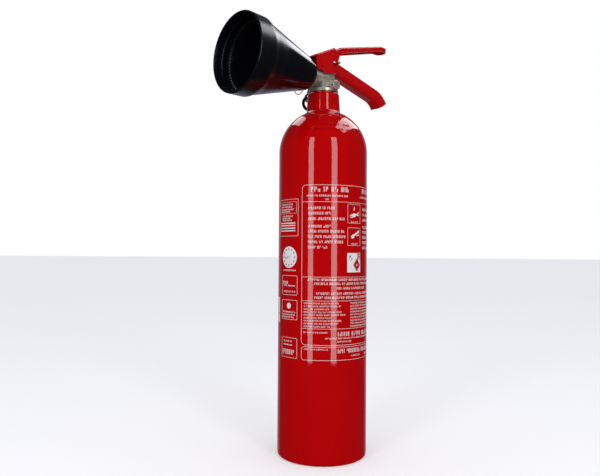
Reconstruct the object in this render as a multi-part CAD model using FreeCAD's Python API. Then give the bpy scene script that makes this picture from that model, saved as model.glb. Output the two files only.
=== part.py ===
import FreeCAD, Part
import math
import os

# Portable carbon dioxide fire extinguisher, 2 kg size: a seamless steel cylinder, a brass squeeze-grip
# valve, a carry handle and squeeze lever in a folded bracket, a safety pin and a screw-on discharge horn.
# Millimetres. The origin is the centre of the foot, +Z is up, the horn points along -X and the levers
# along +X, and the labelled front faces -Y.

Vector = FreeCAD.Vector

TINY = 1e-6              # tolerance when comparing places

# General clearances
FIT = 0.05               # radial clearance of screwed and pressed pieces and of pins in their holes
SHEET_GAP = 0.3          # gap beside a sheet cheek that turns inside another
PIN_FIT = 0.1            # radial clearance of the safety pin in its holes

# Cylinder
CYL_R = 54.0
CYL_WALL = 3.5
CYL_STRAIGHT = 366.0     # foot to the start of the dome
FOOT_CORNER_R = 4.0
FOOT_RING_W = 6.0
BASE_DISH = 12.0
BASE_WALL = 6.0
BASE_CORNER_R = 8.0
NECK_R = 20.6
NECK_TOP_R = 19.3
NECK_RISE = 20.0         # neck top above the top of the dome's sphere
NECK_FILLET_R = 4.0
NECK_CHAMFER = 1.5
NECK_BORE_R = 12.5

# Label film round the front
LABEL_T = 0.25
LABEL_LIFT = 0.02
LABEL_LOW = 118.0
LABEL_HEIGHT = 207.0
LABEL_HALF_ANGLE = 71.0

# Valve body, heights above its own base
WASHER_T = 1.2
WASHER_R = 17.0
FLANGE_R = 18.2
FLANGE_T = 3.3
BLOCK_HALF = 13.3
BLOCK_CORNER_R = 17.8
BLOCK_H = 11.8
HEAD_FRONT = 6.9
HEAD_BACK = 10.6
HEAD_H = 31.8
SHANK_LENGTH = 28.0
CHAMBER_R = 6.5
CHAMBER_H = 8.8
SEAT_R = 3.2
SEAT_T = 3.0
OUTLET_R = 3.4
OUTLET_H = 17.0
OUTLET_TILT = 2.64       # degrees that the outlet rises towards the horn
OUTLET_BORE_R = 2.8
BOSS_R = 10.2
NIPPLE_R = 8.0
NIPPLE_END = 36.0        # from the cylinder axis
GLAND_R = 4.5
GLAND_SHOULDER_H = 21.0

# Stem, poppet, spring and dip tube
STEM_R = 2.5
STEM_TAIL_R = 1.5
STEM_GAP = 0.4           # between the stem's domed end and the lever above it
STEM_TRAVEL = 4.2
O_RING_WIRE_R = 0.9
GLAND_FLATS = 12.0
GLAND_HEAD_H = 5.0
SEAT_DISC_R = 5.2
SEAT_DISC_T = 3.0
POPPET_R = 5.6
POPPET_T = 3.5
SEAT_CONTACT = 0.02
SPRING_R = 4.6
SPRING_WIRE_R = 0.6
SPRING_TURNS = 7
SPRING_END_GAP = 0.1
RETAINER_T = 6.0
RETAINER_BORE_R = 2.5
TUBE_R = 4.0
TUBE_WALL = 1.0
TUBE_SOCKET = 4.0
TUBE_FLOOR_GAP = 8.0

# Burst disc plug on the front of the valve's base block
PORT_H = 6.4
PORT_BORE_R = 1.5
PORT_R = 4.5
PORT_BOSS_R = 6.2
PORT_BOSS_END = 18.4
PORT_FLOOR = 8.8
DISC_T = 0.3
DISC_WASHER_T = 1.0
CAP_HEAD_R = 5.8
CAP_HEAD_L = 5.4
CAP_VENT_R = 1.0
CAP_CHAMFER = 0.8

# Horn, distances along its axis from the cylinder axis
HORN_TAIL = 23.8
HORN_TAIL_R = 14.9
HORN_CONE_START = 28.0
HORN_CONE_R = 19.0
HORN_CONE_END = 105.3
HORN_CONE_END_R = 42.0
HORN_BAND_START = 112.3
HORN_BAND_R = 45.3
HORN_MOUTH = 132.6
HORN_MOUTH_R = 45.9
HORN_LIP_T = 2.6
HORN_WALL = 3.0
HORN_BACK = 34.0         # inner face of the back wall
HORN_STEP = 113.0        # step ring inside the mouth
HORN_STEP_R = 39.6
HORN_EDGE = 0.8
GASKET_T = 1.5
GASKET_R = 10.8
NOZZLE_HEAD_R = 6.0
NOZZLE_HEAD_L = 5.0
NOZZLE_SHANK_L = 8.0
NOZZLE_BORE_R = 1.5
NOZZLE_HOLE_R = 0.8

# Levers and bracket: sheet widths from the middle outwards
LUG_HALF = 6.1
LUG_RUN_GAP = 0.5
LEVER_T = 1.6
HANDLE_T = 1.5
BRACKET_T = 2.0
PIVOT_X = -12.4
PIVOT_H = 31.1
PIVOT_R = 2.0
PIVOT_HEAD_R = 2.7
PIVOT_HEAD_T = 0.8
LUG_R = 4.0
LOBE_R = 4.2
WEB_SLOPE = 25.0
PLATE_FRONT = -21.5
PLATE_TOP_H = 42.8       # bracket top over the plate's front edge
PLATE_BACK = 16.3
PLATE_BOTTOM_H = 22.4
PIN_NOTCH_R = 3.4
RIVET_EDGE = 3.5         # rivet's middle to the plate's back edge
LEVER_GAP = 0.45
SQUEEZE_DEG = 14.0
LEVER_BEND_X = 24.0
GRIP_SLOPE = 13.7
LEVER_TIP_X = 111.5
LEVER_WALL = 7.6
LEVER_TIP_WALL = 6.4
LEVER_CURL_X = 97.0      # where the tip starts to curl down
LEVER_CURL_R = 22.0
LEVER_FOLD_R = 2.2
LEVER_TIP_R = 7.0
HANDLE_SLOPE = 15.8
HANDLE_START_X = 12.0
HANDLE_TOP_H = 38.9      # handle top at its start
HANDLE_BEND_X = 86.0
HANDLE_BEND_R = 35.5
HANDLE_BEND_DEG = 42.0
HANDLE_DEPTH = 13.5
HANDLE_FOLD_R = 5.5
CHEEK_BOTTOM_H = 25.4
RIVET_X = 7.3
RIVET_H = 28.8
RIVET_R = 2.0
RIVET_DOME = 0.3

# Safety pin, its ring and the tamper seal
PIN_X = 9.0
PIN_H = 36.4
PIN_R = 1.5
PIN_TIP = 20.5           # tip beyond the cylinder axis, towards the front
PIN_BACK = 27.5          # bent leg behind the cylinder axis
PIN_BEND_R = 5.0
EYE_X = -1.5
EYE_H = -0.3
RING_WIRE_R = 1.9
RING_R = 7.2
EYE_PLAY = 0.9
RING_SEAT_GAP = 0.3
SEAL_Y = 17.5
SEAL_WIRE_R = 0.55
SEAL_GAP = 0.3
SEAL_LOW_X = -27.0
SEAL_LOW_H = 2.8
SEAL_LOW_R = 5.2
SEAL_LOCK = (7.0, 3.0, 4.5)

# Places worked out from the dimensions above
NECK_TOP = CYL_STRAIGHT + CYL_R + NECK_RISE
VALVE_Z = NECK_TOP + WASHER_T
CHAMBER_TOP = VALVE_Z + CHAMBER_H
OUTLET_Z = VALVE_Z + OUTLET_H
HEAD_TOP = VALVE_Z + HEAD_H
SHANK_LOW = NECK_TOP - SHANK_LENGTH
RETAINER_TOP = SHANK_LOW + RETAINER_T
PIVOT_Z = VALVE_Z + PIVOT_H
PIN_Z = VALVE_Z + PIN_H
RIVET_Z = VALVE_Z + RIVET_H
LEVER_IN = LUG_HALF + LUG_RUN_GAP
LEVER_HALF = LEVER_IN + LEVER_T
HANDLE_IN = LEVER_HALF + SHEET_GAP
HANDLE_HALF = HANDLE_IN + HANDLE_T
BRACKET_IN = HANDLE_HALF + FIT
BRACKET_HALF = BRACKET_IN + BRACKET_T
SEAT_DISC_TOP = CHAMBER_TOP - SEAT_CONTACT
POPPET_TOP = SEAT_DISC_TOP - SEAT_DISC_T
POPPET_LOW = POPPET_TOP - POPPET_T
GLAND_SHOULDER = VALVE_Z + GLAND_SHOULDER_H
EYE_Z = VALVE_Z + EYE_H
EYE_R = RING_WIRE_R + EYE_PLAY + PIN_R
RING_TOP_Z = EYE_Z - EYE_PLAY + RING_SEAT_GAP


def arc_step(centre, radius, start, end):
    """Step of an outline that follows the shorter arc round a centre."""
    half_x = (start[0] + end[0]) / 2 - centre[0]
    half_z = (start[1] + end[1]) / 2 - centre[1]
    scale = radius / math.hypot(half_x, half_z)
    return (centre[0] + half_x * scale, centre[1] + half_z * scale, end[0], end[1])


def outline(start, steps):
    """Closed face in the XZ plane. A step of two numbers is a straight run, of four an arc."""
    edges = []
    here = Vector(start[0], 0, start[1])
    for step in list(steps) + [start]:
        end = Vector(step[-2], 0, step[-1])
        if here.distanceToPoint(end) < 1e-7:
            continue
        if len(step) == 4:
            edges.append(Part.Arc(here, Vector(step[0], 0, step[1]), end).toShape())
        else:
            edges.append(Part.LineSegment(here, end).toShape())
        here = end
    return Part.Face(Part.Wire(edges))


def turned(start, steps):
    """Solid turned about the Z axis from a radius and height outline."""
    return outline(start, steps).revolve(Vector(0, 0, 0), Vector(0, 0, 1), 360)


def sheet(start, steps, half_width):
    """Solid of a side outline, as wide as twice half_width about the middle plane."""
    face = outline(start, steps)
    face.translate(Vector(0, -half_width, 0))
    return face.extrude(Vector(0, 2 * half_width, 0))


def block(x_low, x_high, half_width, z_low, z_high):
    return Part.makeBox(x_high - x_low, 2 * half_width, z_high - z_low, Vector(x_low, -half_width, z_low))


def rod(radius, z_low, z_high):
    return Part.makeCylinder(radius, z_high - z_low, Vector(0, 0, z_low))


def cross_rod(radius, x, z, half_length):
    return Part.makeCylinder(radius, 2 * half_length, Vector(x, -half_length, z), Vector(0, 1, 0))


def front_rod(radius, y_near, y_far, z):
    """Rod along -Y, from y_near to y_far in front of the cylinder axis."""
    return Part.makeCylinder(radius, y_far - y_near, Vector(0, -y_near, z), Vector(0, -1, 0))


def on_outlet(shape):
    """Place a solid made along +Z on the outlet's axis, which runs towards -X."""
    turn = FreeCAD.Rotation(Vector(0, 1, 0), OUTLET_TILT - 90)
    shape.Placement = FreeCAD.Placement(Vector(0, 0, OUTLET_Z), turn)
    return shape


def rounded(shape, radius, is_fold):
    """Round the long edges that is_fold picks by their two ends."""
    edges = [edge for edge in shape.Edges if is_fold([v.Point for v in edge.Vertexes])]
    return shape.makeFillet(radius, edges)


def runs_along(ends, points):
    """Whether an edge keeps to one side and joins two of the outline's points."""
    if len(ends) != 2 or abs(ends[0].y - ends[1].y) > TINY:
        return False
    return all(any(math.hypot(e.x - x, e.z - z) < TINY for x, z in points) for e in ends)


def cylinder_shell():
    """Seamless steel bottle with a dished base, a hemispherical shoulder and a bored neck."""
    inner_r = CYL_R - CYL_WALL
    foot_r = CYL_R - FOOT_CORNER_R - FOOT_RING_W
    dish_r = (foot_r ** 2 + BASE_DISH ** 2) / (2 * BASE_DISH)
    dish = (0, BASE_DISH - dish_r)
    floor_r = dish_r + BASE_WALL
    corner_x = inner_r - BASE_CORNER_R
    corner = (corner_x, dish[1] + math.sqrt((floor_r + BASE_CORNER_R) ** 2 - corner_x ** 2))
    share = floor_r / (floor_r + BASE_CORNER_R)
    floor_edge = (corner[0] * share, dish[1] + (corner[1] - dish[1]) * share)
    dome = (0, CYL_STRAIGHT)
    fillet_x = NECK_R + NECK_FILLET_R
    fillet = (fillet_x, CYL_STRAIGHT + math.sqrt((CYL_R + NECK_FILLET_R) ** 2 - fillet_x ** 2))
    share = CYL_R / (CYL_R + NECK_FILLET_R)
    shoulder = (fillet[0] * share, dome[1] + (fillet[1] - dome[1]) * share)
    foot_corner = (CYL_R - FOOT_CORNER_R, FOOT_CORNER_R)
    bore_low = (NECK_BORE_R, CYL_STRAIGHT + math.sqrt(inner_r ** 2 - NECK_BORE_R ** 2))
    steps = [
        (CYL_R - FOOT_CORNER_R, 0),
        arc_step(foot_corner, FOOT_CORNER_R, (CYL_R - FOOT_CORNER_R, 0), (CYL_R, FOOT_CORNER_R)),
        (CYL_R, CYL_STRAIGHT),
        arc_step(dome, CYL_R, (CYL_R, CYL_STRAIGHT), shoulder),
        arc_step(fillet, NECK_FILLET_R, shoulder, (NECK_R, fillet[1])),
        (NECK_TOP_R, NECK_TOP - NECK_CHAMFER),
        (NECK_TOP_R - NECK_CHAMFER, NECK_TOP),
        (NECK_BORE_R, NECK_TOP),
        bore_low,
        arc_step(dome, inner_r, bore_low, (inner_r, CYL_STRAIGHT)),
        (inner_r, corner[1]),
        arc_step(corner, BASE_CORNER_R, (inner_r, corner[1]), floor_edge),
        arc_step(dish, floor_r, floor_edge, (0, BASE_DISH + BASE_WALL)),
        (0, BASE_DISH),
        arc_step(dish, dish_r, (0, BASE_DISH), (foot_r, 0)),
    ]
    return turned((foot_r, 0), steps)


def label_film():
    """Printed film round the labelled front."""
    inner = CYL_R + LABEL_LIFT
    angle = 2 * LABEL_HALF_ANGLE
    low = Vector(0, 0, LABEL_LOW)
    film = Part.makeCylinder(inner + LABEL_T, LABEL_HEIGHT, low, Vector(0, 0, 1), angle)
    film = film.cut(Part.makeCylinder(inner, LABEL_HEIGHT, low, Vector(0, 0, 1), 360))
    film.rotate(Vector(0, 0, 0), Vector(0, 0, 1), -90 - LABEL_HALF_ANGLE)
    return film


def neck_seal_washer():
    """Flat seal between the neck and the valve."""
    return rod(WASHER_R, NECK_TOP, VALVE_Z).cut(rod(NECK_BORE_R, NECK_TOP, VALVE_Z))


def valve_body():
    """Forged and nickel-plated brass body, screwed into the neck."""
    base_block = block(-BLOCK_HALF, BLOCK_HALF, BLOCK_HALF, VALVE_Z, VALVE_Z + BLOCK_H)
    base_block = base_block.common(rod(BLOCK_CORNER_R, VALVE_Z, VALVE_Z + BLOCK_H))
    lug_sides = (PIVOT_X - LUG_R, PIVOT_X + LUG_R)
    lug_low = OUTLET_Z
    lug_top = arc_step((PIVOT_X, PIVOT_Z), LUG_R, (lug_sides[0], PIVOT_Z), (PIVOT_X, PIVOT_Z + LUG_R))
    lug_fall = arc_step((PIVOT_X, PIVOT_Z), LUG_R, (PIVOT_X, PIVOT_Z + LUG_R), (lug_sides[1], PIVOT_Z))
    lug = sheet((lug_sides[0], lug_low), [(lug_sides[0], PIVOT_Z), lug_top, lug_fall, (lug_sides[1], lug_low)],
                LUG_HALF)
    pieces = [
        rod(FLANGE_R, VALVE_Z, VALVE_Z + FLANGE_T),
        base_block,
        block(-HEAD_FRONT, HEAD_BACK, HANDLE_IN - FIT, VALVE_Z + BLOCK_H, HEAD_TOP),
        block(PIVOT_X, 0, LUG_HALF, OUTLET_Z, OUTLET_Z + BOSS_R),
        lug,
        on_outlet(rod(BOSS_R, 0, HORN_TAIL - GASKET_T - FIT)),
        on_outlet(rod(NIPPLE_R, 0, NIPPLE_END)),
        front_rod(PORT_BOSS_R, 0, PORT_BOSS_END, VALVE_Z + PORT_H),
    ]
    body = rod(NECK_BORE_R - FIT, SHANK_LOW, VALVE_Z + FLANGE_T)
    for piece in pieces:
        body = body.fuse(piece)
    hollows = [
        rod(CHAMBER_R, SHANK_LOW, CHAMBER_TOP),
        rod(SEAT_R, CHAMBER_TOP, CHAMBER_TOP + SEAT_T),
        rod(OUTLET_R, CHAMBER_TOP + SEAT_T, GLAND_SHOULDER),
        rod(GLAND_R, GLAND_SHOULDER, HEAD_TOP),
        on_outlet(rod(OUTLET_BORE_R, STEM_R, NIPPLE_END)),
        front_rod(PORT_BORE_R, 0, PORT_BOSS_END, VALVE_Z + PORT_H),
        front_rod(PORT_R, PORT_FLOOR, PORT_BOSS_END, VALVE_Z + PORT_H),
        cross_rod(PIVOT_R + FIT, PIVOT_X, PIVOT_Z, BRACKET_HALF),
        cross_rod(RIVET_R + FIT, RIVET_X, RIVET_Z, BRACKET_HALF),
    ]
    for hollow in hollows:
        body = body.cut(hollow)
    return body.removeSplitter()


def spring_retainer():
    """Screwed plug that carries the spring and the dip tube."""
    plug = rod(CHAMBER_R - FIT, SHANK_LOW, RETAINER_TOP)
    plug = plug.cut(rod(RETAINER_BORE_R, SHANK_LOW, RETAINER_TOP))
    return plug.cut(rod(TUBE_R + FIT, SHANK_LOW, SHANK_LOW + TUBE_SOCKET))


def dip_tube():
    """Tube that draws the liquid from the bottom of the cylinder, cut slantwise at its foot."""
    foot = BASE_DISH + BASE_WALL + TUBE_FLOOR_GAP
    top = SHANK_LOW + TUBE_SOCKET
    tube = rod(TUBE_R, foot, top).cut(rod(TUBE_R - TUBE_WALL, foot, top))
    slant = outline((-TUBE_R, foot), [(TUBE_R, foot), (TUBE_R, foot + 2 * TUBE_R)])
    slant.translate(Vector(0, -2 * TUBE_R, 0))
    return tube.cut(slant.extrude(Vector(0, 4 * TUBE_R, 0)))


def valve_spring():
    """Coil spring that holds the poppet against its seat."""
    low = RETAINER_TOP + SPRING_WIRE_R + SPRING_END_GAP
    high = POPPET_LOW - SPRING_WIRE_R - SPRING_END_GAP
    coil = Part.makeHelix((high - low) / SPRING_TURNS, high - low, SPRING_R)
    wire = Part.Wire(Part.Circle(Vector(SPRING_R, 0, 0), Vector(0, 1, 0), SPRING_WIRE_R).toShape())
    spring = Part.Wire(coil).makePipeShell([wire], True, True)
    spring.translate(Vector(0, 0, low))
    return spring


def valve_poppet():
    """Brass carrier screwed to the stem's tail."""
    return rod(POPPET_R, POPPET_LOW, POPPET_TOP).cut(rod(STEM_TAIL_R + FIT, POPPET_LOW, POPPET_TOP))


def seat_disc():
    """Nylon disc that closes on the seat."""
    disc = rod(SEAT_DISC_R, POPPET_TOP, SEAT_DISC_TOP)
    return disc.cut(rod(STEM_TAIL_R + FIT, POPPET_TOP, SEAT_DISC_TOP))


def valve_stem():
    """Steel stem with a domed end under the lever and a thin tail through the seat."""
    lever_under_z = web_z(0) - (BRACKET_T + LEVER_GAP + LEVER_T) / math.cos(math.radians(WEB_SLOPE))
    dome_z = lever_under_z - (STEM_R + STEM_GAP) / math.cos(math.radians(WEB_SLOPE))
    waist = CHAMBER_TOP + SEAT_T + STEM_TRAVEL + STEM_R
    steps = [
        (STEM_TAIL_R, POPPET_LOW),
        (STEM_TAIL_R, waist - STEM_R + STEM_TAIL_R),
        (STEM_R, waist),
        (STEM_R, dome_z),
        arc_step((0, dome_z), STEM_R, (STEM_R, dome_z), (0, dome_z + STEM_R)),
    ]
    return turned((0, POPPET_LOW), steps)


def stem_o_ring():
    """Rubber ring that seals the stem under the gland nut."""
    return Part.makeTorus(STEM_R + FIT + O_RING_WIRE_R, O_RING_WIRE_R,
                          Vector(0, 0, GLAND_SHOULDER + O_RING_WIRE_R + FIT))


def gland_nut():
    """Hexagon nut that guides the stem, with its flats towards the lever's cheeks."""
    corner_r = GLAND_FLATS / math.sqrt(3)
    corners = [Vector(corner_r * math.cos(math.radians(60 * i)), corner_r * math.sin(math.radians(60 * i)),
                      HEAD_TOP) for i in range(7)]
    head = Part.Face(Part.makePolygon(corners)).extrude(Vector(0, 0, GLAND_HEAD_H))
    thread_low = GLAND_SHOULDER + 2 * O_RING_WIRE_R + 2 * FIT
    nut = head.fuse(rod(GLAND_R - FIT, thread_low, HEAD_TOP))
    return nut.cut(rod(STEM_R + FIT, thread_low, HEAD_TOP + GLAND_HEAD_H))


def burst_disc():
    """Thin metal disc that opens if the pressure is too high."""
    return front_rod(PORT_R - FIT, PORT_FLOOR, PORT_FLOOR + DISC_T, VALVE_Z + PORT_H)


def burst_disc_washer():
    """Washer between the burst disc and its cap."""
    low = PORT_FLOOR + DISC_T
    washer = front_rod(PORT_R - FIT, low, low + DISC_WASHER_T, VALVE_Z + PORT_H)
    return washer.cut(front_rod(PORT_BORE_R, low, low + DISC_WASHER_T, VALVE_Z + PORT_H))


def burst_disc_cap():
    """Round plug that holds the burst disc, with two cross-drilled vents."""
    thread_low = PORT_FLOOR + DISC_T + DISC_WASHER_T
    z = VALVE_Z + PORT_H
    head_end = PORT_BOSS_END + CAP_HEAD_L
    cap = front_rod(CAP_HEAD_R, PORT_BOSS_END, head_end, z)
    cap = rounded(cap, CAP_CHAMFER, lambda ends: all(abs(p.y + head_end) < 1e-6 for p in ends))
    cap = cap.fuse(front_rod(PORT_R - FIT, thread_low, PORT_BOSS_END, z))
    vent_y = PORT_BOSS_END + CAP_HEAD_L / 2
    cap = cap.cut(front_rod(PORT_BORE_R, thread_low, vent_y + PORT_BORE_R, z))
    across = Vector(-CAP_HEAD_R, -vent_y, z)
    up = Vector(0, -vent_y, z - CAP_HEAD_R)
    cap = cap.cut(Part.makeCylinder(CAP_VENT_R, 2 * CAP_HEAD_R, across, Vector(1, 0, 0)))
    return cap.cut(Part.makeCylinder(CAP_VENT_R, 2 * CAP_HEAD_R, up, Vector(0, 0, 1)))


def horn_gasket():
    """Flat seal between the outlet boss and the horn's tail."""
    ring = rod(GASKET_R, HORN_TAIL - GASKET_T, HORN_TAIL)
    return on_outlet(ring.cut(rod(NIPPLE_R + FIT, HORN_TAIL - GASKET_T, HORN_TAIL)))


def discharge_nozzle():
    """Brass nozzle in the end of the outlet, with a ring of small cross holes."""
    low = NIPPLE_END - NOZZLE_SHANK_L
    end = NIPPLE_END + NOZZLE_HEAD_L
    nozzle = rod(OUTLET_BORE_R - FIT, low, NIPPLE_END).fuse(rod(NOZZLE_HEAD_R, NIPPLE_END, end))
    hole_z = NIPPLE_END + NOZZLE_HEAD_L / 2
    nozzle = nozzle.cut(rod(NOZZLE_BORE_R, low, hole_z + NOZZLE_BORE_R))
    for axis in (Vector(1, 0, 0), Vector(0, 1, 0)):
        start = Vector(0, 0, hole_z) - axis * NOZZLE_HEAD_R
        nozzle = nozzle.cut(Part.makeCylinder(NOZZLE_HOLE_R, 2 * NOZZLE_HEAD_R, start, axis))
    return on_outlet(nozzle)


def horn():
    """Moulded black horn: a tail collar, a long cone, a rounded shoulder and a straight rim band."""
    back_r = HORN_CONE_R + (HORN_BACK - HORN_CONE_START) * (HORN_CONE_END_R - HORN_CONE_R) / (
        HORN_CONE_END - HORN_CONE_START) - HORN_WALL
    shoulder_r = HORN_BAND_R - HORN_EDGE / 2
    shoulder_mid = ((HORN_CONE_END + HORN_BAND_START) / 2 + HORN_EDGE / 4,
                    (HORN_CONE_END_R + shoulder_r) / 2 + HORN_EDGE / 2)
    mouth_in_r = HORN_MOUTH_R - HORN_LIP_T
    steps = [
        (HORN_TAIL_R - HORN_EDGE, HORN_TAIL),
        (HORN_TAIL_R, HORN_TAIL + HORN_EDGE),
        (HORN_TAIL_R, HORN_CONE_START),
        (HORN_CONE_R - 2 * HORN_EDGE, HORN_CONE_START),
        (HORN_CONE_R + HORN_EDGE / 3, HORN_CONE_START + 2 * HORN_EDGE),
        (HORN_CONE_END_R, HORN_CONE_END),
        (shoulder_mid[1], shoulder_mid[0], shoulder_r, HORN_BAND_START),
        (HORN_BAND_R, HORN_BAND_START),
        (HORN_MOUTH_R, HORN_MOUTH - HORN_EDGE),
        (HORN_MOUTH_R - HORN_EDGE, HORN_MOUTH),
        (mouth_in_r + HORN_EDGE / 2, HORN_MOUTH),
        (mouth_in_r, HORN_MOUTH - HORN_EDGE / 2),
        (mouth_in_r - HORN_EDGE, HORN_STEP),
        (HORN_STEP_R, HORN_STEP),
        (back_r, HORN_BACK),
        (NIPPLE_R + FIT, HORN_BACK),
    ]
    return on_outlet(turned((NIPPLE_R + FIT, HORN_TAIL), steps))


def web_z(x):
    """Height of the bracket's sloping top over x."""
    return VALVE_Z + PLATE_TOP_H + (x - PLATE_FRONT) * math.tan(math.radians(WEB_SLOPE))


def lever_bracket():
    """Folded steel bracket over the valve head, open in front, below and behind."""
    web_drop = BRACKET_T / math.cos(math.radians(WEB_SLOPE))
    web_back = PIN_X - PIN_R
    plate_low = VALVE_Z + PLATE_BOTTOM_H
    rivet_edge = RIVET_X + RIVET_EDGE
    corners = [(PLATE_FRONT, web_z(PLATE_FRONT)), (web_back, web_z(web_back))]
    steps = [
        corners[1],
        (PLATE_BACK, PIN_Z + 10.8),
        (PLATE_BACK - BRACKET_T, PIN_Z + 4.6),
        (rivet_edge, PIN_Z + PIN_R),
        (rivet_edge, plate_low + BRACKET_T),
        (PIVOT_X + LOBE_R, plate_low),
        (PLATE_FRONT, plate_low + 3.5),
    ]
    shell = rounded(sheet(corners[0], steps, BRACKET_HALF), BRACKET_T, lambda ends: runs_along(ends, corners))
    room_x = (PLATE_FRONT - BRACKET_T, PLATE_BACK + BRACKET_T)
    room_low = plate_low - BRACKET_T
    room = sheet((room_x[0], room_low), [(room_x[0], web_z(room_x[0]) - web_drop),
                                         (room_x[1], web_z(room_x[1]) - web_drop),
                                         (room_x[1], room_low)], BRACKET_IN)
    shell = shell.cut(room)
    shell = shell.cut(cross_rod(PIVOT_R + FIT, PIVOT_X, PIVOT_Z, BRACKET_HALF))
    shell = shell.cut(cross_rod(RIVET_R + FIT, RIVET_X, RIVET_Z, BRACKET_HALF))
    return shell.cut(cross_rod(PIN_NOTCH_R, PIN_X, PIN_Z, BRACKET_HALF))


def handle_grip(rise, floor, half_width, fold_r, tip_deg):
    """Solid channel blank of the grip: its top raised by rise, its underside raised by floor."""
    slope = math.radians(HANDLE_SLOPE)
    tip = math.radians(HANDLE_SLOPE + tip_deg)
    middle = (slope + tip) / 2
    bend_z = VALVE_Z + HANDLE_TOP_H - (HANDLE_BEND_X - HANDLE_START_X) * math.tan(slope)
    centre = (HANDLE_BEND_X - HANDLE_BEND_R * math.sin(slope), bend_z - HANDLE_BEND_R * math.cos(slope))

    def on_arc(angle, radius):
        return (centre[0] + radius * math.sin(angle), centre[1] + radius * math.cos(angle))

    def at_start(radius):
        x, z = on_arc(slope, radius)
        return (HANDLE_START_X, z + (x - HANDLE_START_X) * math.tan(slope))

    high_r = HANDLE_BEND_R + rise
    low_r = HANDLE_BEND_R - HANDLE_DEPTH + floor
    steps = [
        on_arc(slope, high_r),
        on_arc(middle, high_r) + on_arc(tip, high_r),
        on_arc(tip, low_r),
        on_arc(middle, low_r) + on_arc(slope, low_r),
        at_start(low_r),
    ]
    blank = sheet(at_start(high_r), steps, half_width)
    lows = [on_arc(tip, low_r), on_arc(slope, low_r), at_start(low_r)]
    return rounded(blank, fold_r, lambda ends: runs_along(ends, lows))


def carry_handle():
    """Fixed lower handle: a steel channel, open upwards, whose cheeks clasp the valve head."""
    grip = handle_grip(0, 0, HANDLE_HALF, HANDLE_FOLD_R, HANDLE_BEND_DEG)
    grip = grip.cut(handle_grip(HANDLE_T, HANDLE_T, HANDLE_IN, HANDLE_FOLD_R - HANDLE_T, HANDLE_BEND_DEG + HANDLE_T))
    front_x = PIVOT_X - LOBE_R
    cheek_low = VALVE_Z + CHEEK_BOTTOM_H
    top_z = VALVE_Z + HANDLE_TOP_H
    steps = [
        (front_x, PIVOT_Z),
        arc_step((PIVOT_X, PIVOT_Z), LOBE_R, (front_x, PIVOT_Z), (PIVOT_X, PIVOT_Z + LOBE_R)),
        (HANDLE_START_X, top_z),
        (HANDLE_START_X, cheek_low + HANDLE_FOLD_R),
        (HANDLE_START_X - HANDLE_FOLD_R, cheek_low),
    ]
    cheeks = sheet((front_x, cheek_low), steps, HANDLE_HALF).cut(sheet((front_x, cheek_low), steps, HANDLE_IN))
    shell = grip.fuse(cheeks).removeSplitter()
    shell = shell.cut(cross_rod(PIVOT_R + FIT, PIVOT_X, PIVOT_Z, BRACKET_HALF))
    shell = shell.cut(cross_rod(RIVET_R + FIT, RIVET_X, RIVET_Z, BRACKET_HALF))
    return shell.cut(cross_rod(PIN_R + PIN_FIT, PIN_X, PIN_Z, BRACKET_HALF))


def lever_top_z(x):
    """Height of the squeeze lever's top over x."""
    drop = (BRACKET_T + LEVER_GAP) / math.cos(math.radians(WEB_SLOPE))
    if x <= LEVER_BEND_X:
        return web_z(x) - drop
    return web_z(LEVER_BEND_X) - drop + (x - LEVER_BEND_X) * math.tan(math.radians(GRIP_SLOPE))


def lever_blank(inset, low_steps):
    """Solid blank of the squeeze lever inside a skin of the given thickness, rounded at its tip."""
    bend_drop = inset / math.cos(math.radians(WEB_SLOPE))
    slope = math.radians(GRIP_SLOPE)
    radius = LEVER_CURL_R - inset
    tip_x = LEVER_TIP_X - inset
    centre = (LEVER_CURL_X + LEVER_CURL_R * math.sin(slope), lever_top_z(LEVER_CURL_X) - LEVER_CURL_R * math.cos(slope))
    curl = (centre[0] - radius * math.sin(slope), centre[1] + radius * math.cos(slope))
    tip = (tip_x, centre[1] + math.sqrt(radius ** 2 - (tip_x - centre[0]) ** 2))
    bend = (LEVER_BEND_X, lever_top_z(LEVER_BEND_X) - bend_drop)
    front_x = PIVOT_X - LOBE_R - inset
    front = (front_x, lever_top_z(front_x) - bend_drop)
    steps = [curl, bend, front] + low_steps
    half_width = LEVER_HALF - inset
    blank = sheet(tip, [arc_step(centre, radius, tip, curl)] + steps[1:], half_width)
    tops = [tip, curl, bend, front]
    if inset == 0:
        blank = rounded(blank, LEVER_FOLD_R, lambda ends: runs_along(ends, tops))
    low = Vector(front_x, -half_width, PIVOT_Z - 2 * LOBE_R)
    plan = Part.makeBox(tip_x - front_x, 2 * half_width, LEVER_TIP_X, low)
    plan = rounded(plan, LEVER_TIP_R - inset, lambda ends: all(abs(p.x - tip_x) < TINY for p in ends)
                   and abs(ends[0].z - ends[1].z) > TINY)
    return blank.common(plan)


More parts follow.
